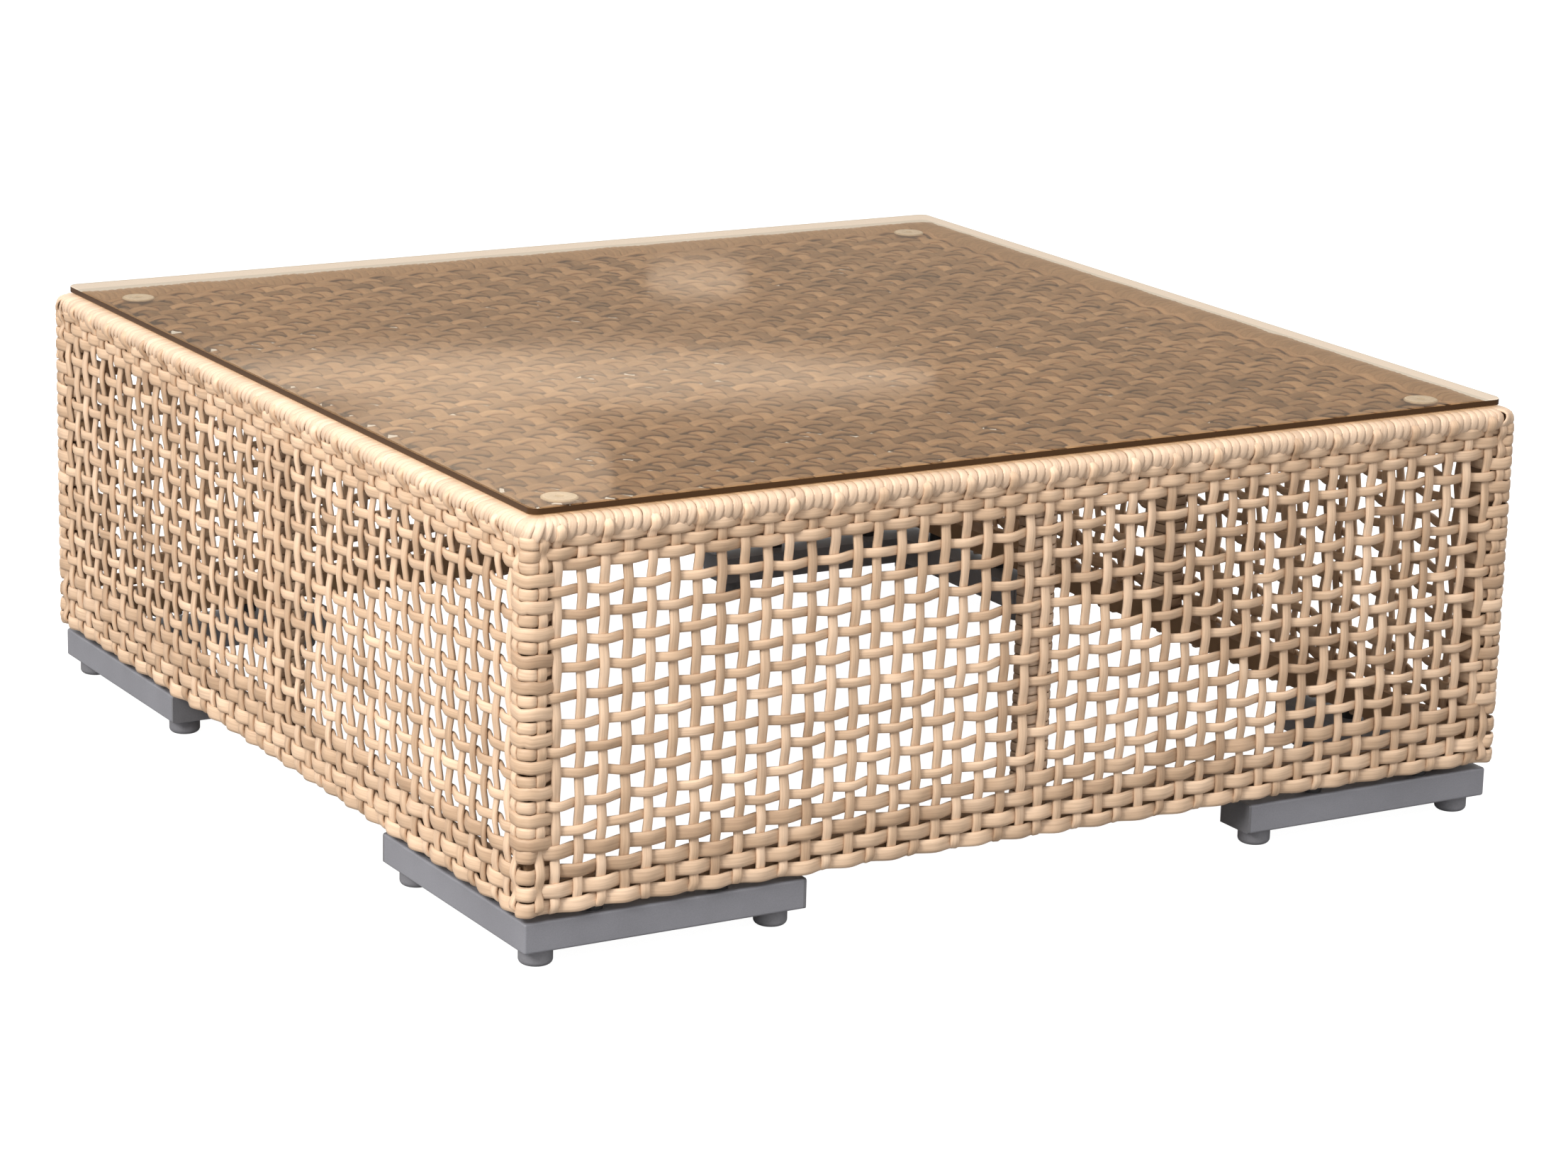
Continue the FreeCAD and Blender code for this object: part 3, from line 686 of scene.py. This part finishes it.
def build_corner(side):
    """Between two open rows one more turn goes round the corner post and the frame tube."""
    strands = Strands(300 + side)
    inner = FRAME_IN - 0.0026
    bend = CORNER_CENTRE + 0.0110
    middle = CORNER_CENTRE + CORNER_ROUNDING * math.sqrt(0.5)
    loop = [
        (inner, FRAME_OUT - 0.012),
        (inner + 0.0014, SKIN_IN + 0.0008),
        (inner + 0.0100, SKIN_MIDDLE + 0.0012),
        (CORNER_CENTRE - 0.0010, SKIN_MIDDLE + 0.0028),
        (CORNER_CENTRE + 0.0058, bend - 0.0002),
        (middle, middle),
    ]
    loop += [(b, a) for a, b in reversed(loop[:-1])]
    loop += [(inner + 0.0006, inner + 0.0006)]
    below = range(len(DENSE_ROWS) - 1, rows_count - len(TOP_ROWS))
    heights = [(row_heights[j] + row_heights[j + 1]) / 2 for j in below]
    for height in heights:
        rise = strands.noise.normal(0, 0.0004, 4)
        local = []
        for n, (a, b) in enumerate(loop):
            local.append((a, b, height + rise[n % 4]))
        path = smooth_path(local, 5, closed=True)
        centre = np.array([FRAME_IN + 0.010, FRAME_IN + 0.010, 0.0])
        facing = path - centre
        facing[:, 2] = 0
        # On the flats the face looks straight out and not away from the post's middle.
        facing[:, :2] = np.sign(facing[:, :2]) * np.abs(facing[:, :2]) ** 3
        strands.add(place(side, path), unit(place(side, facing)), CORNER_WIDTH, CORNER_THICK, closed=True)
    # The two uprights next to the corner's edge: over the rows and under the turns.
    outer = SKIN_OUT - 0.0020
    lower = SKIN_MIDDLE - 0.0006
    for face in range(2):
        bends = []
        for j, height in enumerate(row_heights):
            over = is_open(j) or j % 2 == 0
            bends.append((height, outer if over else lower))
        for height in heights:
            bends.append((height, lower))
        bends.sort()
        local = [(CORNER_UPRIGHT, SKIN_IN, SKIN_BOTTOM + 0.0035)]
        for height, depth in bends:
            sway = strands.noise.normal(0, 0.0003)
            local.append((CORNER_UPRIGHT + sway, depth, height))
        local.append((CORNER_UPRIGHT, SKIN_IN + 0.002, RAIL_TOP - 0.003))
        path = smooth_path(local, 4)
        facing = np.tile([0.0, 1.0, 0.0], (len(path), 1))
        if face:
            path = path[:, [1, 0, 2]]
            facing = facing[:, [1, 0, 2]]
        strands.add(place(side, path), place(side, facing), CORNER_UPRIGHT_WIDTH, CORNER_UPRIGHT_THICK)
    corner = CORNER_NAMES[side]
    piece = strands.build(f"corner_turns_{corner}", WICKER)
    finish_piece(piece, "wicker", "table", f"corner_wrap_{corner}")


def build_rim():
    """Each top rail is wound with one long strand, which leans, and fans out at the corner."""
    # The section of the rim: how far out, how high, and how much of the lean is reached there.
    profile = np.array(
        [
            (FRAME_OUT + 0.0012, RAIL_BOTTOM - 0.0008, 0.0),
            (FRAME_OUT + 0.0014, RAIL_TOP - 0.0120, 0.15),
            (SKIN_MIDDLE + 0.0014, RAIL_TOP - 0.0085, 0.40),
            (SKIN_MIDDLE + 0.0030, RAIL_TOP - 0.0040, 0.7),
            (SKIN_MIDDLE + 0.0014, RAIL_TOP + 0.0014, 0.9),
            (FRAME_OUT + 0.0005, RAIL_TOP + 0.0038, 1.0),
            (FRAME_OUT - 0.0080, RAIL_TOP + 0.0042, 0.9),
            (FRAME_IN + 0.0020, RAIL_TOP + 0.0032, 0.6),
            (FRAME_IN - 0.0028, RAIL_TOP - 0.0050, 0.3),
            (FRAME_IN - 0.0024, RAIL_BOTTOM - 0.0010, 0.0),
            (FRAME_OUT - 0.0100, RAIL_BOTTOM - 0.0020, 0.0),
        ]
    )
    profile[:, 2] *= RIM_LEAN
    pivot = FRAME_IN - 0.0020
    steps = 2
    loop = smooth_path(profile, steps, closed=True)
    per_turn = len(loop)
    straight = 2 * pivot
    straight_turns = int(round(straight / RIM_PITCH))
    noise = np.random.default_rng(31)
    for side in range(4):
        along, out = side_axes(side)
        after = side_axes(side + 1)[1]
        strands = Strands(400 + side)
        turns = straight_turns + RIM_CORNER_TURNS
        count = turns * per_turn + 1
        index = np.arange(count)
        turn = index / per_turn
        shape = loop[index % per_turn]
        wander = drift(noise, turns + 2, 1, 0.0006)
        slide = np.interp(turn, np.arange(turns + 2), wander)
        # Where each turn is: along the side, or as an angle round the corner.
        lean = shape[:, 2] / RIM_PITCH
        where = turn + lean + slide / RIM_PITCH
        travel = np.minimum(where, straight_turns) * straight / straight_turns - pivot
        past_side = np.clip(where - straight_turns, 0, RIM_CORNER_TURNS + 2)
        angle = past_side / RIM_CORNER_TURNS * math.pi / 2
        reach = shape[:, 0] - pivot
        # A rounded corner is further from the pivot than a straight side is.
        skin = SKIN_MIDDLE - pivot
        bulge = np.minimum(1 / np.maximum(np.cos(angle), np.sin(angle).clip(1e-6)), 1.245)
        bulge = np.where(angle > math.pi / 2, 1.0, bulge)
        far = np.where(reach > skin * 0.2, reach * bulge, reach)
        direction = np.cos(angle)[:, None] * out + np.sin(angle)[:, None] * after
        path = travel[:, None] * along + pivot * out + far[:, None] * direction
        rise = drift(noise, turns + 2, 2, 0.0002)
        path[:, 2] = shape[:, 1] + np.interp(turn, np.arange(turns + 2), rise)
        middle_height = (RAIL_TOP + RAIL_BOTTOM) / 2
        facing = (far - 0.5 * (FRAME_OUT - pivot))[:, None] * direction
        facing[:, 2] = (path[:, 2] - middle_height) * 1.2
        strength = np.abs(facing).max(1, keepdims=True)
        strands.add(path, unit(facing / strength), RIM_WIDTH, RIM_THICK)
        piece = strands.build(f"rim_winding_{SIDE_NAMES[side]}", RIM_WICKER)
        finish_piece(piece, "wicker", "table", f"rim_wrap_{SIDE_NAMES[side]}")


def build_post(side):
    """The middle post is bound from bottom to top with a flat strand."""
    strands = Strands(500 + side)
    far = POST_HALF + 0.0012
    centre = (FRAME_OUT + FRAME_IN) / 2
    corners = [
        (-far, centre - far + 0.003),
        (-far, centre + far - 0.003),
        (-far + 0.003, centre + far),
        (far - 0.003, centre + far),
        (far, centre + far - 0.003),
        (far, centre - far + 0.003),
        (far - 0.003, centre - far),
        (-far + 0.003, centre - far),
    ]
    turns = int((post_high.z - post_low.z - 0.002) / POST_PITCH)
    bottom = post_low.z + 0.005
    local = []
    for k in range(turns):
        for n, (a, b) in enumerate(corners):
            local.append((a, b, bottom + (k + n / len(corners)) * POST_PITCH))
    path = smooth_path(local, 1)
    facing = path - np.array([0.0, centre, 0.0])
    facing[:, 2] = 0
    # The binding gets the rim's wicker with a fixed pale tone: painted light, which lifts it out of the
    # shade that it sits in inside the table.
    strands.add(place(side, path), unit(place(side, facing)), POST_WIDTH, POST_THICK, tone=0.9)
    piece = strands.build(f"post_binding_{SIDE_NAMES[side]}", RIM_WICKER)
    finish_piece(piece, "wicker", "table")


def build_deck():
    """The uprights go on across the deck, where they are woven with those of the other sides."""
    noise = np.random.default_rng(41)
    count = uprights_count
    shift_x = np.zeros((count, count))
    shift_y = np.zeros((count, count))
    for i in range(count):
        shift_x[i] = drift(noise, count, 4, 0.0010) + noise.normal(0, 0.0004, count)
        shift_y[:, i] = drift(noise, count, 4, 0.0010) + noise.normal(0, 0.0004, count)
    end = FRAME_IN - 0.001
    for axis in range(2):
        strands = Strands(600 + axis)
        for i, place_i in enumerate(upright_places):
            local = [(place_i, -end, DECK_MIDDLE - 0.003)]
            for j, place_j in enumerate(upright_places):
                if abs(place_j) > end - 0.006:
                    continue
                up = DECK_WAVE * (1 if (i + j + axis) % 2 else -1)
                if axis == 0:
                    point = (place_i + shift_x[i, j], place_j + shift_y[i, j], DECK_MIDDLE + up)
                else:
                    point = (place_i + shift_y[j, i], place_j + shift_x[j, i], DECK_MIDDLE + up)
                local.append(point)
            local.append((place_i, end, DECK_MIDDLE - 0.003))
            path = smooth_path(local, 5)
            if axis:
                path = path[:, [1, 0, 2]]
            facing = np.tile([0.0, 0.0, 1.0], (len(path), 1))
            tilt = drift(strands.noise, len(path), 12, 0.05)
            strands.add(path, facing, DECK_WIDTH, DECK_THICK, tilt=tilt)
        piece = strands.build(f"deck_strands_{'yx'[axis]}", DECK_WICKER_PAINTED_CONTRAST)
        finish_piece(piece, "wicker", "table", "deck_weave")


for side in range(4):
    build_uprights(side)
    build_corner(side)
    build_post(side)
build_rows()
build_rim()
build_deck()


# ---------------------------------------------------------------- bumpers under the glass

BUMPER_ACROSS = 0.028


def build_bumpers():
    """Four soft pads with a rounded edge, turned about their own middle."""
    edge = BUMPER_ACROSS / 2
    reach = (bumper_high.x - bumper_low.x) / 2 - edge
    low = bumper_low.z
    high = bumper_high.z
    profile = [
        (0.0, low),
        (edge - 0.0008, low),
        (edge - 0.0002, low + 0.0005),
        (edge, (low + high) / 2),
        (edge - 0.0003, high - 0.0004),
        (edge - 0.0012, high),
        (0.0035, high),
        (0.0028, high - 0.0005),
        (0.0, high - 0.0006),
    ]
    segments = 48
    points = []
    faces = []
    for x in (-reach, reach):
        for y in (-reach, reach):
            base = len(points)
            points.append((x, y, profile[0][1]))
            for r, z in profile[1:-1]:
                for k in range(segments):
                    angle = 2 * math.pi * k / segments
                    points.append((x + r * math.cos(angle), y + r * math.sin(angle), z))
            points.append((x, y, profile[-1][1]))
            final = len(points) - 1
            rings = len(profile) - 2
            for k in range(segments):
                after = (k + 1) % segments
                faces.append((base, base + 1 + after, base + 1 + k))
                for ring in range(rings - 1):
                    start = base + 1 + ring * segments
                    faces.append((start + k, start + after, start + segments + after, start + segments + k))
                top = base + 1 + (rings - 1) * segments
                faces.append((top + k, top + after, final))
    mesh = bpy.data.meshes.new("bumper_pads")
    mesh.from_pydata(points, [], faces)
    mesh.update()
    mesh.shade_smooth()
    mesh.materials.append(RUBBER)
    piece = bpy.data.objects.new("bumper_pads", mesh)
    bpy.context.scene.collection.objects.link(piece)
    finish_piece(piece, "bumper", "table", "glass_bumpers")


build_bumpers()

# ---------------------------------------------------------------- looks of the carried-over nodes


def looks_of(name):
    """The material of a node that keeps its own shape."""
    if name.startswith(("top_rail", "bottom_rail", "corner_post", "mid_post", "deck_bar")):
        return TUBE
    if name == "glass_top":
        return GLASS
    if name == "foot_end_caps":
        return CAP
    if name in ("foot_spacers", "foot_screws"):
        return SPACER
    if name.startswith("leveller"):
        return LEVELLER
    if name.startswith("foot_") and "_along_" in name:
        return FOOT
    return STEEL


for name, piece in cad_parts.items():
    chosen = looks_of(name)
    if not piece.material_slots:
        piece.data.materials.append(chosen)
    for slot in piece.material_slots:
        slot.material = chosen

# ---------------------------------------------------------------- floor, light and camera

FLOOR_REACH = 60.0
floor_corners = [(FLOOR_REACH * x, FLOOR_REACH * y, 0.0) for x, y in ((-1, -1), (1, -1), (1, 1), (-1, 1))]
floor_mesh = bpy.data.meshes.new("floor")
floor_mesh.from_pydata(floor_corners, [], [(0, 1, 2, 3)])
floor = bpy.data.objects.new("floor", floor_mesh)
floor.location.z = cad_low.z
bpy.context.scene.collection.objects.link(floor)
floor_material, floor_tree, floor_shader = new_material("floor_paper")
floor_shader.inputs["Base Color"].default_value = (0.28, 0.28, 0.28, 1.0)
floor_shader.inputs["Roughness"].default_value = 0.9
floor_shader.inputs["Specular IOR Level"].default_value = 0.0
# The paper looks white, but throws back only a part of the light that falls on it, so
# that the underside of the table stays in shade.
glow = node(floor_tree, "ShaderNodeEmission", Strength=0.96)
both = node(floor_tree, "ShaderNodeAddShader")
seen = node(floor_tree, "ShaderNodeLightPath")
floor_tree.links.new(floor_shader.outputs["BSDF"], both.inputs[0])
floor_tree.links.new(glow.outputs["Emission"], both.inputs[1])
plain = floor_shader.outputs["BSDF"]
paper = mix_shaders(floor_tree, seen.outputs["Is Camera Ray"], plain, both.outputs["Shader"])
floor_tree.links.new(paper, floor_tree.nodes["Material Output"].inputs["Surface"])
floor_mesh.materials.append(floor_material)

world = bpy.data.worlds.new("studio")
bpy.context.scene.world = world
world.use_nodes = True
sky = world.node_tree.nodes["Background"]
sky.inputs["Color"].default_value = (1.0, 0.98, 0.96, 1.0)
sky.inputs["Strength"].default_value = 1.09

bpy.context.scene.view_settings.view_transform = "Standard"


def add_light(name, where, size, power, colour):
    """An area light that is aimed at the table's middle."""
    data = bpy.data.lights.new(name, "AREA")
    data.shape = "RECTANGLE"
    data.size = size[0]
    data.size_y = size[1]
    data.energy = power
    data.color = colour
    light = bpy.data.objects.new(name, data)
    light.location = where
    light.rotation_euler = (MIDDLE - Vector(where)).to_track_quat("-Z", "Y").to_euler()
    bpy.context.scene.collection.objects.link(light)
    return light


MIDDLE = Vector((0.0, 0.0, (cad_low.z + cad_high.z) / 2))
add_light("overhead", (-0.6, -0.4, 3.0), (2.4, 2.4), 62.0, (1.0, 0.98, 0.96))
add_light("key", (-3.0, -1.4, 1.9), (0.9, 0.9), 95.0, (1.0, 0.97, 0.93))

# Low strips of light far behind the table, which show mostly as soft paler bands in the
# glass. Each has its place, its size and its power.
STRIPS = (
    ((1.18, 2.62, 1.018), (1.15, 0.080), 0.45),
    ((1.56, 2.86, 0.945), (0.16, 0.050), 0.034),
    ((0.58, 1.75, 0.92), (0.42, 0.20), 0.27),
)
for index, (where, size, power) in enumerate(STRIPS):
    strip = add_light(f"strip_{index}", where, size, power, (1.0, 0.96, 0.90))
    strip.data.shape = "ELLIPSE"
    strip.visible_camera = False
    strip.visible_diffuse = False

# The view: from the front left, looking down by fifteen degrees, with a slight roll.
CAMERA_PLACE = Vector((-1.9015, -3.2540, 1.1447))
CAMERA_LENS = 105.7
YAW = 0.5361
PITCH = 0.2622
ROLL = 0.0262
forward = Vector((math.sin(YAW) * math.cos(PITCH), math.cos(YAW) * math.cos(PITCH), -math.sin(PITCH)))
level = Vector((math.cos(YAW), -math.sin(YAW), 0.0))
upward = level.cross(forward)
right = math.cos(ROLL) * level + math.sin(ROLL) * upward
above = math.cos(ROLL) * upward - math.sin(ROLL) * level
camera_data = bpy.data.cameras.new("camera")
camera_data.sensor_width = 36.0
camera_data.lens = CAMERA_LENS
camera_data.clip_end = 200.0
camera = bpy.data.objects.new("camera", camera_data)
turned = Matrix((right, above, -forward)).transposed().to_4x4()
turned.translation = CAMERA_PLACE
camera.matrix_world = turned
bpy.context.scene.collection.objects.link(camera)
bpy.context.scene.camera = camera
